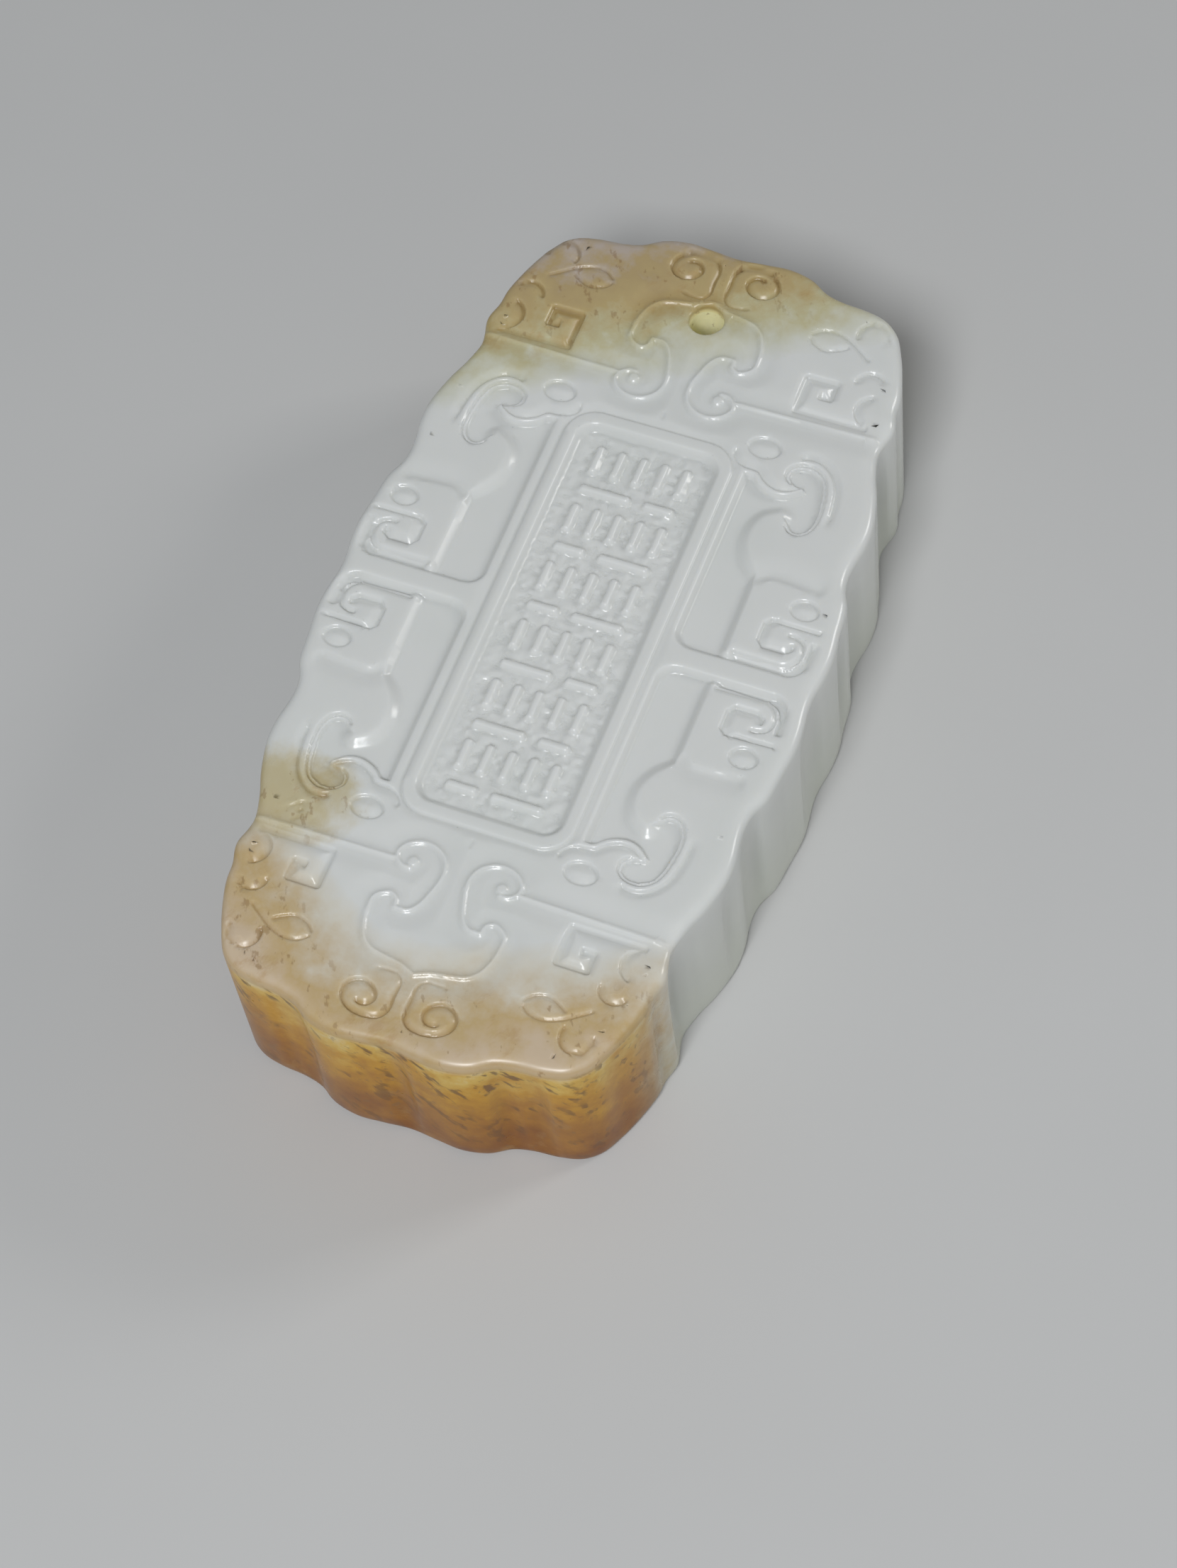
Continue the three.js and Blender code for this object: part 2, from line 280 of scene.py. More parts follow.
# %% [markdown]
# ## How a cut is shaped
#
# A cut has a path, and across it two sides. On one side the wheel stood upright and left a steep wall; on
# the other it was tilted and left a slope that runs out to the polished face, so the form inside the
# line looks raised like a cushion although it isn't higher than the face. Each cut says its path, which
# of its sides slopes, how wide both are, how deep it is, and over what length it fades at its ends.

# %% Measure from a path


def beside(points, path):
    """Distance of points to a path, positive on its left, and how far along it they lie."""
    a, b = path[:-1], path[1:]
    ab = b - a
    length = np.maximum(np.linalg.norm(ab, axis=1), 1e-9)
    before = np.concatenate([[0], np.cumsum(length)[:-1]])
    ap = points[:, None, :] - a[None]
    t = np.clip((ap * ab[None]).sum(2) / length**2, 0, 1)
    gap = ap - t[..., None] * ab[None]
    distance = np.sqrt((gap**2).sum(2))
    best = distance.argmin(1)
    row = np.arange(len(points))
    side = ab[best, 0] * ap[row, best, 1] - ab[best, 1] * ap[row, best, 0]
    return distance[row, best] * np.where(side < 0, -1, 1), before[best] + t[row, best] * length[best]


def ease(value):
    """0 to 1 with a soft start and end."""
    value = np.clip(value, 0, 1)
    return value * value * (3 - 2 * value)


# %% [markdown]
# ## The carver's cuts
#
# The design is the same in all four quarters of the face, so each cut is drawn once, in the quarter where
# both distances from the middle are positive: the first number of a point is its distance from the long
# axis, the second its distance from the short axis.

# %% Draw the cuts of one quarter
cuts = []
CURL = [(9.7, 10.8), (10.1, 10.3), (10.7, 10.2), (11.2, 10.5), (11.5, 11.1), (11.6, 11.9), (11.5, 12.8),
        (11.3, 13.8), (10.9, 14.6), (10.1, 15.05)]


def cut(path, depth=0.26, slope_side=1, slope=0.6, wall=0.13, flat=0.0, fade=(0.3, 0.3)):
    """Adds a cut; slope_side 1 slopes on the left of the path, -1 on its right, 0 on both sides."""
    cuts.append({"path": np.array(path, float), "depth": depth, "slope_side": slope_side,
                 "slope": slope, "wall": wall, "flat": flat, "fade": fade})


def draw_key():
    cut(straight([(12.3, 18.7), (7.5, 18.7), (7.5, 21.2), (9.35, 21.2), (9.35, 20.05), (8.5, 20.05)]),
        slope_side=-1, slope=0.5, wall=0.14, flat=0.1, depth=0.3, fade=(0.2, 0.2))


def draw_rim_scales():
    cut(arc((12.15, 19.95), 1.1, 262, 98), slope_side=-1, slope=0.65, depth=0.28)
    cut(arc((11.35, 21.7), 0.95, 190, 20), slope_side=-1, slope=0.55, depth=0.24)


def draw_leaf():
    cut(smooth([(6.5, 24.2), (7.0, 23.65), (7.85, 23.4), (8.6, 23.65), (9.3, 24.1)]),
        slope=0.3, depth=0.17)
    cut(smooth([(6.5, 24.2), (7.2, 24.75), (8.1, 24.85), (9.1, 24.5), (10, 23.9), (10.8, 23.35)]),
        slope_side=-1, slope=0.3, depth=0.17)
    cut(arc((10.35, 25.25), 1.0, -30, 215), slope=0.45, depth=0.24)


def draw_end_volute():
    cut(smooth([(2.6, 24.85), (1.5, 24.75), (0.85, 24.8), (0.5, 25.2), (0.48, 26.2), (0.5, 27.2),
                (0.9, 27.75), (1.8, 27.95), (2.8, 27.75), (3.4, 27.2), (3.5, 26.5), (3.1, 26.0),
                (2.4, 25.85), (1.75, 26.15), (1.5, 26.7), (1.8, 27.2), (2.4, 27.25), (2.7, 26.95)]),
        slope_side=-1, slope=0.42, depth=0.28, fade=(0.6, 0.4))


def draw_cloud_back():
    cut(smooth([(5.15, 15.1), (5.1, 14.5), (5.5, 14.05), (6.1, 13.85), (6.95, 13.75), (7.4, 13.35),
                (7.9, 13.05), (8.5, 12.9), (9.2, 13.05), (9.9, 13.6), (9.6, 13.95), (9.2, 14.1)]),
        depth=0.24, fade=(0.5, 0.2))
    cut(arc((6.75, 15.45), 0.95, 0, 360, 0.68), wall=0.16, depth=0.19, fade=(0, 0))
    cut(smooth([(9.3, 13.4), (8.7, 13.9), (8.7, 14.5), (9.2, 14.95)] + CURL[::-1]),
        slope_side=-1, slope=0.28, depth=0.3, fade=(0.3, 0.4))
    cut(smooth([(9.0, 15.35), (9.6, 15.6), (10.4, 15.55), (11.2, 15.05), (11.8, 14.2), (12.1, 13.0),
                (12.2, 11.9), (12.15, 10.9)]),
        slope=0.5, wall=0.2, depth=0.24, fade=(0.4, 1.2))


def draw_slab_hook():
    cut(smooth([(9.6, 1.3), (11, 1.27), (12.3, 1.25), (13.1, 1.28), (13.65, 1.65), (13.9, 2.4),
                (13.7, 3.1), (13.1, 3.4), (12.5, 3.4)]),
        slope=0.3, depth=0.3)
    cut(straight([(14.4, 4.05), (11.35, 4.1)]), slope=0.25, depth=0.32, fade=(0.0, 0.0))
    cut(straight([(11.4, 4.1), (11.05, 3.8), (11.05, 2.6), (11.4, 2.2), (12.8, 2.2), (13.2, 2.5),
                  (13.2, 3.0)]),
        slope=0.65, depth=0.34, wall=0.14, fade=(0.0, 0.3))
    cut(arc((13.0, 5.3), 0.8, 0, 360, 0.75), wall=0.16, depth=0.2, fade=(0, 0))
    cut(smooth([(9.5, 5.9), (9.6, 6.6), (10.2, 7.05), (11.3, 7.1), (12.5, 7.0), (13.9, 6.8)]),
        slope=1.3, wall=0.5, depth=0.19, fade=(0.8, 0.6))


def draw_axis_mark():
    cut(straight([(0, 15.3), (0, 16.2)]), slope_side=0, slope=0.25, wall=0.25, depth=0.08)


for draw in (draw_key, draw_rim_scales, draw_leaf, draw_end_volute, draw_cloud_back, draw_slab_hook,
             draw_axis_mark):
    draw()
print(len(cuts), "cuts in a quarter,", round(sum(len(item["path"]) for item in cuts) * STEP), "mm long")

# %% [markdown]
# ## Raised lines
#
# The cloud head at each end, and the base line that ties it to the edge, aren't cut but left standing:
# the stone beside them is ground away in a soft hollow on both sides, and a thin thread stays at the
# height of the face. Its curl ends in a round knob. One distance, to the nearest thread, shapes them all,
# so that two threads that pass close by don't cut each other.

# %% Draw the raised lines of one quarter
THREAD_HALF = 0.05
THREAD_FLANK = 0.27
THREAD_HOLLOW = 0.17
HOLLOW_REACH = 1.4
KNOB = ((2.78, 17.86), 0.2)

threads = [
    smooth([(0, 24.62), (0.5, 24.4), (1, 24.22), (2, 24.05), (3, 23.8), (3.6, 23.3), (4.0, 22.4),
            (4.15, 21.4), (4.1, 20.7), (3.7, 20.3), (3.2, 20.15), (2.8, 20.4), (2.7, 20.95)]),
    smooth([(2.7, 20.95), (1.9, 20.9), (1.4, 20.4), (1.05, 19.5), (0.8, 18.5), (0.8, 17.8), (1.1, 17.1),
            (1.8, 16.6), (2.6, 16.5), (3.4, 16.8), (3.85, 17.4), (3.75, 17.95), (3.3, 18.28),
            (2.8, 18.3)]),
    straight([(3.8, 17.95), (12.9, 18.12)]),
]
print(len(threads), "raised lines in a quarter")

# %% [markdown]
# ## Sunk fields
#
# The side panels are sunk fields. Their floor is flat, and each stretch of their border has its own wall:
# steep along the slab's hook, long and soft where the floor rises to the outer edge. At each point the
# wall that has gone down least sets the depth, so the walls meet in clean mitred corners.

# %% Draw the sunk fields
BAR_HALF_WIDTH = 0.55
SIDE_PANEL_INNER = 6.0

side_field = [
    (straight([(SIDE_PANEL_INNER, 13.5), (SIDE_PANEL_INNER, BAR_HALF_WIDTH + 1.3)]), 0.5),
    (arc((SIDE_PANEL_INNER + 1.3, BAR_HALF_WIDTH + 1.3), 1.3, 180, 270), 0.5),
    (straight([(SIDE_PANEL_INNER + 1.3, BAR_HALF_WIDTH), (13.2, BAR_HALF_WIDTH)]), 0.42),
    (arc((13.2, BAR_HALF_WIDTH + 1.35), 1.35, -90, 0), 0.3),
    (straight([(14.55, 1.9), (14.6, 3.3), (14.1, 3.4)]), 0.3),
    (straight([(14.1, 3.4), (14.0, 2.2)]), 0.2),
    (smooth([(14.0, 2.2), (13.75, 1.6), (13.1, 1.25)]), 0.12),
    (straight([(13.1, 1.25), (9.6, 1.25)]), 0.12),
    (straight([(9.6, 1.25), (9.55, 7.1)]), 0.6),
    (smooth([(9.55, 7.1), (8.7, 7.9), (8.2, 8.9), (8.15, 9.8), (8.5, 10.7), (9.3, 11.25)]), 0.9),
    (smooth([(9.3, 11.25)] + CURL), 0.3),
    (smooth([(10.1, 15.05), (9.2, 14.95), (8.7, 14.5), (8.75, 13.9), (9.3, 13.4), (9.9, 13.3)]), 0.25),
    (smooth([(9.9, 13.3), (9.2, 12.75), (8.5, 12.6), (7.8, 12.75), (7.25, 13.05), (6.8, 13.45),
             (SIDE_PANEL_INNER, 13.5)]), 0.24),
]


def within(points, ring):
    """Whether each point lies inside a closed ring."""
    a, b = ring, np.roll(ring, -1, 0)
    result = np.zeros(len(points), bool)
    for part in in_parts(points):
        x, y = points[part, 0:1], points[part, 1:2]
        crosses = (a[:, 1] > y) != (b[:, 1] > y)
        rise = np.where(b[:, 1] == a[:, 1], 1e-9, b[:, 1] - a[:, 1])
        at = a[:, 0] + (y - a[:, 1]) / rise * (b[:, 0] - a[:, 0])
        result[part] = ((crosses & (x < at)).sum(1) % 2) == 1
    return result


side_ring = np.vstack([path[:-1] for path, wall in side_field])
print("side panel border", len(side_ring), "points")

# %% [markdown]
# ## Rows of strokes in the panel
#
# The floor of the middle panel is stippled with a point, and strokes are left standing on it almost as
# high as the face. They are rows of dashes and upright reeds, an even pattern without meaning. The
# distance to a rectangle with round corners is a short formula, so every stroke is one.

# %% Lay out the strokes
STROKE_WIDTH = 0.6
STROKE_GAP = 0.82
STROKE_ROWS = 6
FIELD_HALF = (3.1, 12.6)
REEDS_ACROSS = 5
LONG_DASH_SHARE = 0.62
STROKE_TOP = 0.14


def stroke_boxes():
    """Centre and half size of every stroke."""
    wide = 2 * FIELD_HALF[0]
    pitch_up = (2 * FIELD_HALF[1] + STROKE_GAP) / STROKE_ROWS
    reed = pitch_up - STROKE_WIDTH - 2 * STROKE_GAP
    pitch_across = (wide - STROKE_WIDTH) / (REEDS_ACROSS - 1)
    long_dash = (wide - STROKE_GAP) * LONG_DASH_SHARE
    boxes = []

    def add(left, bottom, width, height):
        boxes.append((left + width / 2, bottom + height / 2, width / 2, height / 2))

    for number in range(STROKE_ROWS):
        bottom = -FIELD_HALF[1] + number * pitch_up
        first = long_dash if (number + 1) // 2 % 2 else wide - STROKE_GAP - long_dash
        add(-FIELD_HALF[0], bottom, first, STROKE_WIDTH)
        add(-FIELD_HALF[0] + first + STROKE_GAP, bottom, wide - first - STROKE_GAP, STROKE_WIDTH)
        bottom += STROKE_WIDTH + STROKE_GAP
        for place in range(REEDS_ACROSS):
            add(-FIELD_HALF[0] + place * pitch_across, bottom, STROKE_WIDTH, reed)
    return np.array(boxes)


def box_distance(points, centre, half, corner):
    """Distance outside a rectangle with round corners, negative inside."""
    away = np.abs(points - centre) - (half - corner)
    return (np.linalg.norm(np.maximum(away, 0), axis=1) + np.minimum(away.max(1), 0)) - corner


strokes = stroke_boxes()
print(len(strokes), "strokes")

# %% [markdown]
# ## Uneven stone
#
# Three places aren't smooth: the stippled floor of the panel, a rough patch of skin that the polish
# missed at the left edge, and a faint unevenness everywhere that comes from polishing by hand. Seeded
# random lattices give the same bumps on every run.

# %% Make the unevenness
STIPPLE_DEPTH = 0.085
ROUGH_CENTRE = np.array([-10.4, -16.7])
ROUGH_HALF = np.array([1.6, 1.5])


def lattice(points, cell, seed):
    """Smooth random values from -1 to 1 on a square lattice of the given cell."""
    size = 512
    table = np.random.default_rng(seed).uniform(-1, 1, (size, size))
    place = points / cell + 200
    low = np.floor(place).astype(int)
    share = place - low
    share = share * share * (3 - 2 * share)
    x0, y0 = low[:, 0] % size, low[:, 1] % size
    x1, y1 = (x0 + 1) % size, (y0 + 1) % size
    bottom = table[x0, y0] * (1 - share[:, 0]) + table[x1, y0] * share[:, 0]
    top = table[x0, y1] * (1 - share[:, 0]) + table[x1, y1] * share[:, 0]
    return bottom * (1 - share[:, 1]) + top * share[:, 1]


def rough_skin(points):
    """Pits and torn streaks of the patch that the polish missed."""
    away = np.linalg.norm((points - ROUGH_CENTRE) / ROUGH_HALF, axis=1)
    turned = np.column_stack([points @ (0.80, 0.60) / 3.0, points @ (-0.60, 0.80)])
    tears = np.maximum(lattice(turned, 0.22, 5), 0) * 0.16
    return (1 - ease(away)) * (tears + 0.08 * np.maximum(lattice(points, 0.35, 6), 0))


# %% [markdown]
# ## One rule for the depth of the face
#
# Everything that is cut is now put together: at each point the deepest cut wins. The same rule serves
# three times: it says where the mesh has to be finer, how deep each vertex of the face goes, and where
# the lines run out over the rim.

# %% Work out the depth of the face
SLOPE_POWER, WALL_POWER = 1.5, 1.6
FRAME_GROOVE_HALF = np.array([5.52, 14.85])
FRAME_GROOVE_CORNER = 2.0
FRAME_GROOVE_DEPTH = 0.19
FRAME_GROOVE_SLOPE, FRAME_GROOVE_WALL = 0.6, 0.15
PANEL_WALL = 0.55
STROKE_CORNER, STROKE_SHOULDER, STROKE_FLANK = 0.22, 0.2, 0.32
THREAD_REACH, THREAD_CLEAR = 1.6, 0.2
HAND_UNEVENNESS = 0.012


def close_parts(points, path, reach):
    """The rows of the points that lie in a path's box widened by a reach, some thousand at a time."""
    low, high = path.min(0) - reach, path.max(0) + reach
    close = np.flatnonzero(((points > low) & (points < high)).all(1))
    return (close[part] for part in in_parts(close))


def cut_depth(points, item):
    """How deep one cut is at points of the quarter."""
    deep = np.zeros(len(points))
    length = walked_along(item["path"])[-1]
    for rows in close_parts(points, item["path"], max(item["slope"], item["wall"]) + item["flat"]):
        away, along = beside(points[rows], item["path"])
        sloping = away * item["slope_side"] > 0 if item["slope_side"] else np.ones(len(rows), bool)
        width = np.where(sloping, item["slope"], item["wall"])
        share = np.clip((np.abs(away) - item["flat"]) / width, 0, 1)
        shape = np.where(sloping, (1 - share) ** SLOPE_POWER, 1 - share**WALL_POWER)
        for place, fade in zip((along, length - along), item["fade"]):
            if fade:
                shape = shape * ease(place / fade)
        deep[rows] = item["depth"] * shape
    return deep


def field_depth(points):
    """How deep the sunk side field is at points of the quarter."""
    deep = np.zeros(len(points))
    inside = np.flatnonzero(within(points, side_ring))
    inner = points[inside]
    share = np.ones(len(inside))
    for path, wall in side_field:
        for rows in close_parts(inner, path, wall):
            share[rows] = np.minimum(share[rows], np.abs(beside(inner[rows], path)[0]) / wall)
    deep[inside] = SIDE_DEPTH * ease(share)
    return deep


def panel_depth(points):
    """The middle panel with its stippled floor and the strokes left standing on it."""
    inside = -box_distance(points, 0, PANEL_HALF, PANEL_CORNER)
    deep = PANEL_DEPTH * ease(inside / PANEL_WALL)
    rows = np.flatnonzero(inside > PANEL_WALL * 0.6)
    floor_points = points[rows]
    stippled = ease((inside[rows] - PANEL_WALL * 0.8) / 0.35)
    floor_depth = deep[rows] + STIPPLE_DEPTH * stippled * (lattice(floor_points, 0.32, 1)
                                                           + 0.6 * lattice(floor_points, 0.62, 2))
    for u, v, half_u, half_v in strokes:
        half = np.array((half_u, half_v))
        near = np.flatnonzero((np.abs(floor_points - (u, v)) < half + STROKE_FLANK).all(1))
        away = box_distance(floor_points[near], (u, v), half, STROKE_CORNER)
        standing = 1 - ease((away + STROKE_SHOULDER) / STROKE_FLANK)
        floor_depth[near] += (STROKE_TOP - floor_depth[near]) * standing
    deep[rows] = floor_depth
    return deep


def thread_depth(points):
    """The hollows beside the raised lines, and how clear of a line each point is, from 0 to 1."""
    away = np.full(len(points), 9.0)
    for path in threads:
        for rows in close_parts(points, path, THREAD_REACH):
            away[rows] = np.minimum(away[rows], np.abs(beside(points[rows], path)[0]))
    away = np.minimum(away, np.maximum(np.linalg.norm(points - KNOB[0], axis=1) - KNOB[1], 0))
    beyond = away - THREAD_HALF
    flank = 1 - (1 - np.clip(beyond / THREAD_FLANK, 0, 1)) ** 2
    hollow = flank * (1 - ease((beyond - THREAD_FLANK) / HOLLOW_REACH))
    return THREAD_HOLLOW * hollow, ease(beyond / THREAD_CLEAR)


def face_depth(points):
    """Depth below the polished face, in mm, at points of the whole face."""
    carved = points - SHIFT
    folded = np.abs(carved)
    deep = field_depth(folded)
    for item in cuts:
        deep = np.maximum(deep, cut_depth(folded, item))
    hollow, clear = thread_depth(folded)
    deep = np.maximum(deep * clear, hollow)
    groove = box_distance(carved, 0, FRAME_GROOVE_HALF, FRAME_GROOVE_CORNER)
    run_out = (1 - np.clip(groove / FRAME_GROOVE_SLOPE, 0, 1)) ** SLOPE_POWER
    steep = 1 - np.clip(-groove / FRAME_GROOVE_WALL, 0, 1) ** WALL_POWER
    deep = np.maximum(deep, FRAME_GROOVE_DEPTH * np.where(groove > 0, run_out, steep))
    deep = np.maximum(deep, panel_depth(carved))
    return deep + rough_skin(carved) + HAND_UNEVENNESS * lattice(carved, 2.6, 3)


print("depth in the middle of a side panel",
      round(float(face_depth(np.array([[7.8, 5.0]]))[0]), 2), "mm")

# %% [markdown]
# ## The face
#
# The face starts as a plain grid. Cells outside the rim and over the hole are deleted, and then the cells
# that the carving crosses are subdivided, twice, so that the fine lines get fine cells and the plain
# stone stays coarse. How far the depth rule bends away from a flat cell says which cells those are.

# %% Helpers for choosing parts of a mesh in code


def read(items, name, kind=int, width=1):
    """One property of all vertices, edges, corners or polygons, as an array."""
    values = np.empty(len(items) * width, kind)
    items.foreach_get(name, values)
    return values


def places(mesh):
    """Where the vertices of a mesh are."""
    return read(mesh.vertices, "co", float, 3).reshape(-1, 3)


def put(mesh, place):
    """Moves the vertices of a mesh to their places."""
    mesh.vertices.foreach_set("co", place.ravel())
    mesh.update()


def edge_pairs(mesh):
    """The two vertices of each edge, and whether the edge has a polygon on one side only."""
    used = np.bincount(read(mesh.loops, "edge_index"), minlength=len(mesh.edges))
    return read(mesh.edges, "vertices", width=2).reshape(-1, 2), used == 1


def choose(item, kind, mask):
    """Selects exactly the chosen vertices, edges or polygons and enters edit mode."""
    bpy.ops.object.mode_set(mode="EDIT")
    bpy.context.tool_settings.mesh_select_mode = (kind == "vertices", kind == "edges",
                                                  kind == "polygons")
    bpy.ops.mesh.select_all(action="DESELECT")
    bpy.ops.object.mode_set(mode="OBJECT")
    getattr(item.data, kind).foreach_set("select", np.asarray(mask, bool))
    bpy.ops.object.mode_set(mode="EDIT")


def leave_edit():
    bpy.ops.object.mode_set(mode="OBJECT")


def triangle_count(mesh):
    return int((read(mesh.polygons, "loop_total") - 2).sum())


# %% Start the face as a grid
CELL = 0.34
RIM_INSET = 0.95
HOLE_RIM = HOLE_RADIUS + 0.2
CLEAR = 0.04

columns = int(math.ceil(2 * (HALF_WIDTH + 0.4) / CELL))
rows_of_cells = int(math.ceil(2 * (HALF_LENGTH + 0.4) / CELL))
bpy.ops.object.select_all(action="DESELECT")
bpy.ops.mesh.primitive_grid_add(x_subdivisions=columns, y_subdivisions=rows_of_cells, size=1)
stone = bpy.context.object
stone.name = "jade_plaque_carved"
bpy.ops.object.mode_set(mode="EDIT")
bpy.ops.mesh.select_all(action="SELECT")
bpy.ops.transform.resize(value=(columns * CELL, rows_of_cells * CELL, 1))
bpy.ops.transform.translate(value=(0, 0, THICKNESS))
leave_edit()

place = places(stone.data)
inside = nearest_share(place[:, :2])[1]
from_hole = np.linalg.norm(place[:, :2] - HOLE_CENTRE, axis=1)
keep_vertex = (inside > RIM_INSET + CLEAR) & (from_hole > HOLE_RIM + CLEAR)
choose(stone, "polygons", ~keep_vertex[read(stone.data.loops, "vertex_index").reshape(-1, 4)].all(1))
bpy.ops.mesh.delete(type="FACE")
leave_edit()
print("face grid of", len(stone.data.polygons), "cells")

# %% Make the cells finer where the carving crosses them
BEND_LIMITS = (0.017, 0.0205)


def bent_cells(item, widest, limit):
    """Which four-sided cells up to a width are not flat enough for the depth rule."""
    corner = read(item.data.loops, "vertex_index")
    first = read(item.data.polygons, "loop_start")
    four = np.flatnonzero(read(item.data.polygons, "loop_total") == 4)
    quad = places(item.data)[corner[first[four][:, None] + np.arange(4)]][:, :, :2]
    width = np.linalg.norm(quad[:, 1] - quad[:, 0], axis=1)
    four, quad = four[width < widest], quad[width < widest]
    grid = [(s, t) for s in np.linspace(0, 1, 5) for t in np.linspace(0, 1, 5)]
    weight = np.array([((1 - s) * (1 - t), s * (1 - t), s * t, (1 - s) * t) for s, t in grid])
    samples = np.einsum("gk,nkx->ngx", weight, quad)
    deep = face_depth(samples.reshape(-1, 2)).reshape(len(quad), len(grid))
    corners = deep[:, [0, 20, 24, 4]]
    flat = corners @ weight.T
    chosen = np.zeros(len(first), bool)
    chosen[four[np.abs(deep - flat).max(1) > limit]] = True
    return chosen


for level, limit in enumerate(BEND_LIMITS):
    choose(stone, "polygons", bent_cells(stone, CELL / 2**level * 1.2, limit))
    bpy.ops.mesh.subdivide(number_cuts=1)
    leave_edit()
    print("after subdivision", level + 1, "the face has", triangle_count(stone.data), "triangles")

# %% [markdown]
# ## The rims, the wall and the hole
#
# The face's ragged border is extruded into a ring that lies exactly on the rim's inner line, and then
# ring by ring over the rounded rim, down the wall and round to the back, like turning a hem. Each border
# vertex keeps a number that says how far round the outline it belongs, and the extruded copies inherit
# it, so a rule can put every new ring in its place. The hole is made in the same way. Down the wall,
# upright valleys run from the notches of the edge, with shallow flutes between them. They are deepest
# halfway and run out towards both rims.

# %% Number the borders
round_share = stone.data.attributes.new("round_share", "FLOAT", "POINT")


def border_loops(mesh):
    """The rings of border vertices, each in order."""
    pair, lone = edge_pairs(mesh)
    beside_vertex = {}
    for a, b in pair[lone]:
        beside_vertex.setdefault(a, []).append(b)
        beside_vertex.setdefault(b, []).append(a)
    loops = []
    left = set(beside_vertex)
    while left:
        ring = [left.pop()]
        while True:
            step = [n for n in beside_vertex[ring[-1]] if n in left]
            if not step:
                break
            ring.append(step[0])
            left.remove(step[0])
        loops.append(np.array(ring))
    return sorted(loops, key=len, reverse=True)


def spread_evenly(share, rounds=60):
    """Shares in order round a ring, turned into an even spacing that stays close to them."""
    steps = np.diff(np.append(share, share[0]))
    steps -= np.round(steps)
    direction = 1 if steps.sum() > 0 else -1
    unrolled = share[0] + np.concatenate([[0], np.cumsum(steps)[:-1]])
    for _ in range(rounds):
        after = np.append(unrolled[1:], unrolled[0] + direction)
        before = np.concatenate([[unrolled[-1] - direction], unrolled[:-1]])
        unrolled = 0.5 * unrolled + 0.25 * (before + after)
    return unrolled


loops = border_loops(stone.data)
sheet_vertices = len(stone.data.vertices)
print("border rings:", [len(ring) for ring in loops])
place = places(stone.data)
shares = np.zeros(len(place))
outer, around_hole = loops[0], loops[1]
shares[outer] = spread_evenly(nearest_share(place[outer, :2])[0])
turn = np.arctan2(*(place[around_hole, :2] - HOLE_CENTRE).T[::-1]) / (2 * math.pi)
shares[around_hole] = spread_evenly(turn % 1)
round_share.data.foreach_set("value", shares)

# %% Extrude ring by ring
FACE_RIM = [(RIM_INSET, 0.0), (0.62, 0.02), (0.40, 0.07), (0.22, 0.17), (0.09, 0.32), (0.02, 0.52),
            (0.0, 0.8)]
WALL_LEVELS = (10.4, 8.2, 5.6, 3.0, 1.3)
BACK_RIM = [(0.0, 0.62), (0.05, 0.37), (0.19, 0.15), (0.41, 0.03), (0.62, 0.0)]
BACK_LINE = [(1.95, 0.0), (2.05, 0.05), (2.17, 0.19), (2.27, 0.22), (2.38, 0.19), (2.5, 0.05),
             (2.6, 0.0)]
HOLE_RINGS = [(0.2, 0.0), (0.12, 0.02), (0.04, 0.08), (0.0, 0.2)]
CARVED_DOWN_TO = 0.5


def choose_ring(item, ring):
    """Selects the border edges of one ring of vertices."""
    mask = np.zeros(len(item.data.vertices), bool)
    mask[ring] = True
    pair, lone = edge_pairs(item.data)
    choose(item, "edges", mask[pair].all(1) & lone)


def extrude_ring(item, rule):
    """Extrudes the selected border ring and places the new ring by a rule."""
    bpy.ops.object.mode_set(mode="EDIT")
    bpy.ops.mesh.extrude_edges_move()
    leave_edit()
    new = read(item.data.vertices, "select", bool)
    place = places(item.data)
    place[new] = rule(read(item.data.attributes["round_share"].data, "value", float)[new])
    put(item.data, place)


FLUTE_DEPTH, FLUTE_WIDTH = 0.5, 1.7
NOTCH_GAIN, NOTCH_REACH = 1.8, 1.2
WALL_MIDDLE = 6.0


def fluted(share, level):
    """The wall's outline at a level: its notches are deeper and its lobes fluted, most halfway up."""
    ring_radius = travelled[-1] / (2 * math.pi)
    wave = lattice(ring_radius * turned_to(2 * math.pi * share), FLUTE_WIDTH, 8)
    here, before, after = (edge_at(share + move / travelled[-1], 0.0)
                           for move in (0, -NOTCH_REACH, NOTCH_REACH))
    inward = (edge_at(share, 0.5) - here) / 0.5
    notch = ((here - (before + after) / 2) * inward).sum(1)
    back = FLUTE_DEPTH * np.maximum(wave, 0) + NOTCH_GAIN * np.maximum(notch, 0)
    return here + inward * (back * (1 - (level / WALL_MIDDLE - 1) ** 2))[:, None]


def edge_ring(inset, level, carved=0.0):
    """A rule for a ring inside the outline; carved says how much of the carving it follows."""
    def rule(share):
        flat = fluted(share, level) if inset == 0 and not carved else edge_at(share, inset)
        height = np.full(len(share), float(level))
        if carved:
            height -= carved * face_depth(flat)
        return np.column_stack([flat, height])
    return rule


def hole_ring(radius, level):
    """A rule for a ring round the hole; near the face it follows the carving."""
    def rule(share):
        flat = HOLE_CENTRE + radius * turned_to(2 * math.pi * share)
        height = np.full(len(share), float(level))
        if level > THICKNESS - CARVED_DOWN_TO:
            height -= face_depth(flat)
        return np.column_stack([flat, height])
    return rule


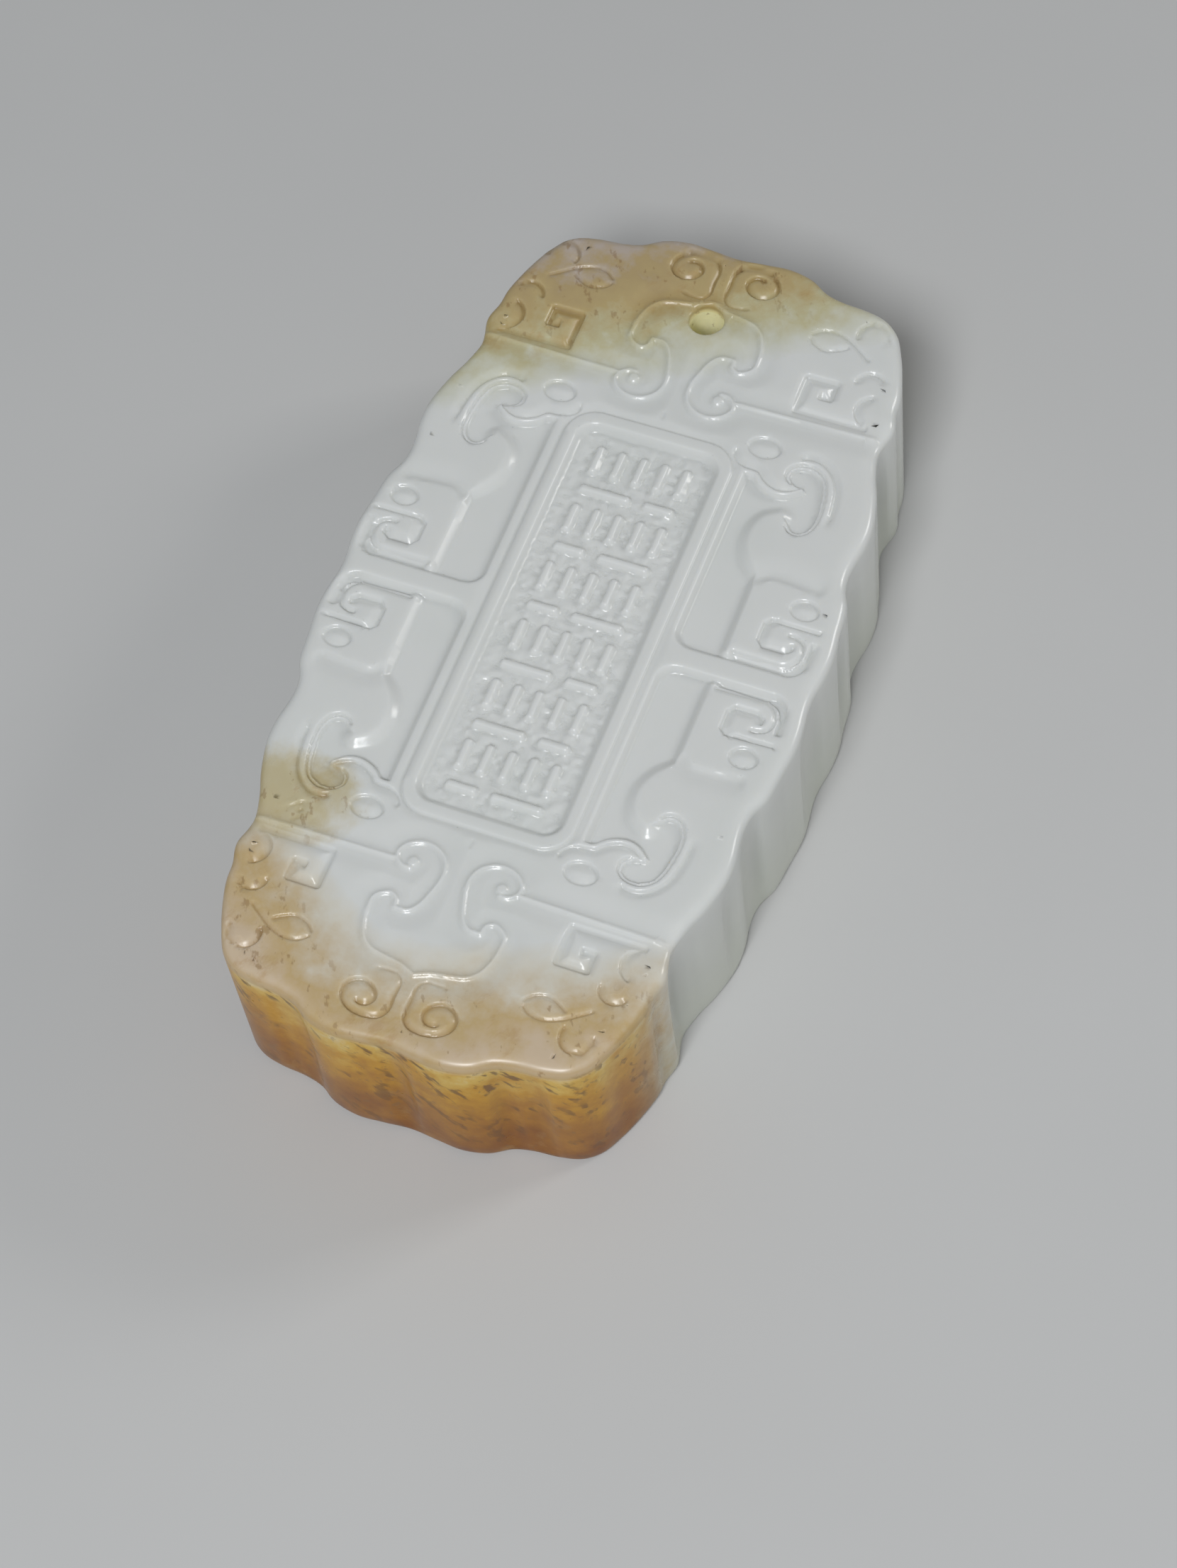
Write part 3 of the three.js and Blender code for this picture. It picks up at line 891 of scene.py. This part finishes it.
choose_ring(stone, outer)
for inset, drop in FACE_RIM:
    extrude_ring(stone, edge_ring(inset, THICKNESS - drop, max(0.0, 1 - drop / CARVED_DOWN_TO)))
for inset, level in [(0.0, level) for level in WALL_LEVELS] + BACK_RIM + BACK_LINE:
    extrude_ring(stone, edge_ring(inset, level))

choose_ring(stone, around_hole)
down_the_hole = [(wider, THICKNESS - drop) for wider, drop in HOLE_RINGS] + [(0.0, THICKNESS / 2)]
for wider, level in down_the_hole + HOLE_RINGS[::-1]:
    extrude_ring(stone, hole_ring(HOLE_RADIUS + wider, level))
print("with rims, wall and hole:", triangle_count(stone.data), "triangles")

# %% Carve the face
place = places(stone.data)
place[:sheet_vertices, 2] -= face_depth(place[:sheet_vertices, :2])
put(stone.data, place)
print("carved", sheet_vertices, "vertices, deepest",
      round(float(THICKNESS - place[:sheet_vertices, 2].min()), 2))

# %% [markdown]
# ## The back
#
# The back isn't seen in the photograph. A second face of such a plaque is often carved as well, but here
# it is finished plainer: polished flat, with one line that follows the edge and a plain sunk panel of the
# same size as the one in front. The panel starts as a circle of vertices pushed out to the rounded
# rectangle and is extruded inwards and up; then one fill closes the flat stone between the line, the
# panel and the hole.

# %% Add the plain sunk panel of the back
PANEL_RINGS = [(0.0, 0.0), (0.04, 0.01), (0.1, 0.05), (0.2, 0.27), (0.27, 0.34), (0.4, 0.35)]
PANEL_VERTICES = 120

bpy.ops.object.select_all(action="DESELECT")
bpy.ops.mesh.primitive_circle_add(vertices=PANEL_VERTICES, radius=1)
back_panel = bpy.context.object
panel_share = np.arange(PANEL_VERTICES) / PANEL_VERTICES
back_panel.data.attributes.new("round_share", "FLOAT", "POINT").data.foreach_set("value", panel_share)


def panel_ring(inset, level):
    """A rule for a ring inside the sunk panel's outline."""
    ring = rounded_box(PANEL_HALF - inset, PANEL_CORNER - inset)
    walked = walked_along(ring)

    def rule(share):
        at = share % 1 * walked[-1]
        return np.column_stack([np.interp(at, walked, ring[:, 0]) + SHIFT[0],
                                np.interp(at, walked, ring[:, 1]) + SHIFT[1],
                                np.full(len(share), float(level))])
    return rule


put(back_panel.data, panel_ring(*PANEL_RINGS[0])(panel_share))
bpy.ops.object.mode_set(mode="EDIT")
bpy.context.tool_settings.mesh_select_mode = (False, True, False)
bpy.ops.mesh.select_all(action="SELECT")
leave_edit()
for inset, level in PANEL_RINGS[1:]:
    extrude_ring(back_panel, panel_ring(inset, level))
bpy.ops.object.mode_set(mode="EDIT")
bpy.ops.mesh.edge_face_add()
leave_edit()
print("back panel:", triangle_count(back_panel.data), "triangles")

# %% Close the back
back_panel.select_set(True)
stone.select_set(True)
bpy.context.view_layer.objects.active = stone
bpy.ops.object.join()
open_rings = border_loops(stone.data)
print("open rings to fill:", [len(ring) for ring in open_rings])
choose(stone, "edges", edge_pairs(stone.data)[1])
bpy.ops.mesh.fill(use_beauty=True)
bpy.ops.mesh.select_all(action="SELECT")
bpy.ops.mesh.normals_make_consistent(inside=False)
bpy.ops.mesh.quads_convert_to_tris(quad_method="SHORTEST_DIAGONAL", ngon_method="BEAUTY")
leave_edit()
stone.data.attributes.remove(stone.data.attributes["round_share"])
print("open rings left:", len(border_loops(stone.data)), "triangles:", triangle_count(stone.data))

# %% Bring the stone to metres and smooth its shading
bpy.ops.object.select_all(action="DESELECT")
stone.select_set(True)
bpy.context.view_layer.objects.active = stone
stone.scale = (MM, MM, MM)
bpy.ops.object.transform_apply(location=False, rotation=False, scale=True)
bpy.ops.object.shade_smooth()

a, b, c = places(stone.data)[read(stone.data.loops, "vertex_index").reshape(-1, 3).T]
volume = float(np.einsum("ij,ij->i", a, np.cross(b, c)).sum() / 6)
print("volume", round(volume * 1e6, 2), "cubic centimetres")

# %% [markdown]
# ## The finish
#
# Pale nephrite lets light in a little way and scatters it back, so the stone looks lit from within and
# the shade in the cuts stays light. Its polish is waxy to glassy. Where the river pebble's old skin was
# left, iron has stained it: beige and brown at one corner of the hole end, and honey to deep amber down
# the wall of the other end, with dark brown flecks along tiny cracks.
#
# Shader sums are easier to read as Python than as a picture of nodes, so a small class wraps a socket:
# adding or multiplying two of them adds the Math node that does it.

# %% Write shader sums in Python


class Value:
    """A socket that can be used in sums."""

    def __init__(self, finish, socket):
        self.finish = finish
        self.socket = socket

    def math(self, operation, *others):
        values = dict(enumerate([self, *others]))
        return self.finish.node("ShaderNodeMath", {"operation": operation}, values)

    def __add__(self, other):
        return self.math("ADD", other)

    __radd__ = __add__

    def __sub__(self, other):
        return self.math("SUBTRACT", other)

    def __rsub__(self, other):
        return self.finish.node("ShaderNodeMath", {"operation": "SUBTRACT"}, {0: other, 1: self})

    def __mul__(self, other):
        return self.math("MULTIPLY", other)

    __rmul__ = __mul__

    def between(self, low, high):
        """0 at low, 1 at high, and a soft ramp from one to the other; low may be the greater."""
        return self.finish.node("ShaderNodeMapRange", {"interpolation_type": "SMOOTHSTEP"},
                                {"Value": self, "From Min": low, "From Max": high})


class Finish:
    """A material and the way its nodes are added."""

    def __init__(self, name):
        self.material = bpy.data.materials.new(name)
        self.material.use_nodes = True
        self.tree = self.material.node_tree
        self.tree.nodes.clear()

    def node(self, kind, settings=None, values=None, output=0):
        """Adds a node: its settings first, then its sockets. Returns one output as a Value."""
        made = self.tree.nodes.new(kind)
        for name, setting in (settings or {}).items():
            if name == "stops":
                ramp = made.color_ramp
                while len(ramp.elements) < len(setting):
                    ramp.elements.new(0.5)
                for element, (position, colour) in zip(ramp.elements, setting):
                    element.position = position
                    element.color = (*colour, 1)
            else:
                setattr(made, name, setting)
        for name, value in (values or {}).items():
            if isinstance(value, Value):
                self.tree.links.new(value.socket, made.inputs[name])
            else:
                made.inputs[name].default_value = value
        return Value(self, made.outputs[output])

    def mix(self, share, first, second, blend="MIX"):
        """Two colours mixed by a share."""
        first, second = (value if isinstance(value, Value) else (*value, 1) for value in (first, second))
        return self.node("ShaderNodeMix", {"data_type": "RGBA", "blend_type": blend},
                         {0: share, 6: first, 7: second}, 2)

    def shine(self, values):
        """The surface shader and the output."""
        shader = self.node("ShaderNodeBsdfPrincipled", None, values)
        end = self.tree.nodes.new("ShaderNodeOutputMaterial")
        self.tree.links.new(shader.socket, end.inputs["Surface"])


print("shader sums ready")

# %% [markdown]
# ## Stone and skin
#
# The white body is nearly even, with cloudy patches some millimetres across. How much skin there is at a
# place is one number: how far inside the stained part it lies, with noise that makes the border ragged.
# A ramp turns that number into colour. The hole end goes from white over olive cream to tan and a dull
# pink at the far corner, the other end from white to beige, and its wall from pale gold under the rim to
# deep amber at the table. One ramp for each of the three is simpler to tune than one for all. An ochre
# patch lies at the left edge, over the rough skin.

# %% Start the nephrite with places in millimetres
nephrite = Finish("nephrite")
object_place = nephrite.node("ShaderNodeTexCoord", None, None, "Object")
in_mm = nephrite.node("ShaderNodeVectorMath", {"operation": "SCALE"}, {0: object_place, "Scale": 1000})
x, y, z = (nephrite.node("ShaderNodeSeparateXYZ", None, {0: in_mm}, axis) for axis in range(3))


def noise(scale, detail=3.0, roughness=0.5, stretch=None, turn=(0, 0, 0)):
    """Noise with blotches of about the given size in mm, from 0 to 1; stretch draws them out."""
    vector = in_mm
    if stretch:
        vector = nephrite.node("ShaderNodeMapping", {"vector_type": "TEXTURE"},
                               {"Vector": in_mm, "Scale": stretch,
                                "Rotation": [math.radians(value) for value in turn]})
    return nephrite.node("ShaderNodeTexNoise", None,
                         {"Vector": vector, "Scale": 1 / scale, "Detail": detail,
                          "Roughness": roughness})


def beyond(value):
    """The part of a value that is over zero."""
    return value.math("MAXIMUM", 0.0)


def ramp(amount, *stops):
    """A colour for each amount, through stops of (amount, red, green, blue)."""
    return nephrite.node("ShaderNodeValToRGB", {"stops": [(at, colour) for at, *colour in stops]},
                         {"Fac": amount})


ragged = (noise(4.5, 4.0, 0.58) - 0.5) * 4.6 + (noise(1.2, 3.0, 0.6) - 0.5) * 1.3
blotches = noise(2.4, 4.0, 0.62) - 0.5
print("noise fields ready")

# %% Colour the stained ends
WHITE = (0.72, 0.73, 0.715)

into_top = y - 15.4 - (x + 12.5) * 0.53 + ragged * 0.75
top_colour = ramp((into_top + 2.6) * 0.082 + blotches * 0.80 * into_top.between(-2.5, 3.0),
                  (0.00, *WHITE), (0.16, 0.65, 0.65, 0.55), (0.32, 0.57, 0.53, 0.34),
                  (0.56, 0.51, 0.40, 0.20), (0.80, 0.47, 0.36, 0.19), (1.00, 0.50, 0.43, 0.37))
into_low = -24.0 - y + beyond(x * -1.0 - 4.5) * 0.78 + beyond(x) * 0.33 + ragged * 0.55
low_colour = ramp((into_low + 2.2) * 0.12 + blotches * 0.95 * into_low.between(-2.5, 2.5),
                  (0.00, *WHITE), (0.20, 0.69, 0.66, 0.58), (0.46, 0.61, 0.51, 0.36),
                  (0.68, 0.56, 0.42, 0.22), (1.00, 0.62, 0.50, 0.36))
face_colour = nephrite.mix(y.between(-1.0, 1.0), low_colour, top_colour)

left_patch = (((x + 11.6) * 0.30).math("POWER", 2.0) + ((y + 15.6) * 0.42).math("POWER", 2.0)
              + ragged * 0.45 + blotches * 2.0).between(2.3, 0.1)
face_colour = nephrite.mix(left_patch * 0.80, face_colour, (0.54, 0.45, 0.23))

WALL_TOP = 12.2
down = (WALL_TOP - z) * (1 / WALL_TOP)
on_wall = (12.15 - z).between(0.0, 0.75)
stained_wall = (-20.0 - y + beyond(x * -1.0 - 3.5) * 0.55 + ragged * 0.6).between(0.0, 4.5) * on_wall
wall_colour = ramp(down * 0.80 + blotches * 0.85 + 0.10,
                   (0.00, 0.76, 0.62, 0.33), (0.12, 0.73, 0.49, 0.100), (0.30, 0.61, 0.31, 0.008),
                   (0.56, 0.43, 0.180, 0.002), (0.80, 0.31, 0.110, 0.001), (1.00, 0.22, 0.062, 0.001))
# The walls are made darker and warmer towards the table.
body = nephrite.mix(down * 0.75, face_colour, (0.78, 0.80, 0.68), "MULTIPLY")
body = nephrite.mix(stained_wall, body, wall_colour)
print("three ramps of colour")

# %% [markdown]
# ## The hole's painted glow, the flecks and the painted shade in the grooves
#
# The hole's wall is painted a pale warm colour, a painted glow that stands in for the light that the
# stone lets into the hole. Flecks are noise that only shows above a threshold: drawn out at a slant they
# are the short dark streaks of the end wall, and small and nearly round they are the specks of the skin.
# Where a cut goes through the stain, the stain is painted darker and yellower: painted shade in the cuts.

# %% Paint a glow on the hole's wall
across_hole = nephrite.node("ShaderNodeCombineXYZ", None,
                            {"X": x - HOLE_CENTRE[0], "Y": y - HOLE_CENTRE[1]})
off_axis = nephrite.node("ShaderNodeVectorMath", {"operation": "LENGTH"}, {0: across_hole}, "Value")
# Painted glow: the hole's wall gets a pale warm colour in place of light let through the stone.
painted_hole_glow = off_axis.between(1.35, 1.05) * (WALL_TOP - z).between(0.0, 0.4)
body = nephrite.mix(painted_hole_glow, body, (0.97, 0.93, 0.62))
print("hole of", HOLE_RADIUS * 2, "mm lit up")

# %% Add clouds, flecks and painted shade in the grooves
cloudy = noise(8.0, 3.0, 0.5).between(0.35, 0.75)
body = nephrite.mix(cloudy * 0.30, body, (0.90, 0.925, 0.905), "MULTIPLY")

skin = into_low.between(0.0, 2.5).math("MAXIMUM", into_top.between(0.0, 3.5)).math("MAXIMUM", left_patch)
# Painted shade: where the stained face lies below its polished level, in the cuts, it is made darker and
# yellower.
painted_groove_shade = (12.44 - z).between(0.0, 0.22) * (z - 11.7).between(0.0, 0.1) * skin
body = nephrite.mix(painted_groove_shade * 0.55, body, (0.80, 0.70, 0.46), "MULTIPLY")

dashes = noise(0.70, 2.5, 0.55, stretch=(1.0, 1.0, 2.6), turn=(0, -42, 0)).between(0.55, 0.66)
dashes = dashes * noise(3.0, 2.0, 0.5).between(0.34, 0.54) * stained_wall * (1.0 - 0.50 * down)
spots = noise(0.75, 3.0, 0.6, stretch=(0.9, 1.7, 1.0), turn=(0, 0, 25)).between(0.61, 0.68) * skin
veins = noise(2.0, 5.0, 0.7, stretch=(1.0, 2.2, 1.0), turn=(0, 0, -30)).between(0.56, 0.68) * skin
colour = nephrite.mix(veins * 0.35, body, (0.42, 0.24, 0.08))
colour = nephrite.mix(spots * 0.42, colour, (0.25, 0.13, 0.04))
colour = nephrite.mix(dashes * 0.85, colour, (0.15, 0.060, 0.006))
print("flecks and grooves")

# %% Give the stone its polish and its inner light
stippled = (11.98 - z).between(0.0, 0.1) * (5.0 - x.math("ABSOLUTE")).between(0.0, 0.3)
stippled = stippled * (14.3 - y.math("ABSOLUTE")).between(0.0, 0.3)
punched = noise(0.30, 2.0, 0.6)
waves = noise(1.6, 2.0, 0.5)
relief = punched * stippled * 0.00014 + waves * 0.000010
polish = nephrite.node("ShaderNodeBump", None, {"Strength": 0.7, "Distance": 1.0, "Height": relief})

roughness = 0.23 + 0.12 * stippled + 0.08 * (noise(2.2, 3.0, 0.6) - 0.4) + 0.05 * skin
nephrite.shine({
    "Base Color": colour,
    "Roughness": roughness,
    "IOR": 1.61,
    "Specular IOR Level": 0.33,
    "Subsurface Weight": 0.55,
    "Subsurface Radius": (1.0, 0.95, 0.85),
    "Subsurface Scale": 0.0013,
    "Normal": polish,
})
stone.data.materials.clear()
stone.data.materials.append(nephrite.material)
print("nephrite has", len(nephrite.tree.nodes), "nodes")

# %% [markdown]
# ## The floor's finish
#
# The table is a matt off-white board with a very faint mottling, so that it doesn't compete with the
# stone.

# %% Finish the floor
board = Finish("pale_board")
board_place = board.node("ShaderNodeTexCoord", None, None, "Object")
mottling = board.node("ShaderNodeTexNoise", None, {"Vector": board_place, "Scale": 40, "Detail": 4})
board_colour = board.mix(mottling, (0.55, 0.55, 0.545), (0.58, 0.58, 0.575))
board.shine({"Base Color": board_colour, "Roughness": 0.75})
floor.data.materials.append(board.material)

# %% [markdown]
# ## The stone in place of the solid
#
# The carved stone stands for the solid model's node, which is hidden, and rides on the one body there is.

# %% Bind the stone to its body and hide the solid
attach(stone, "root")
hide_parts("jade_plaque")
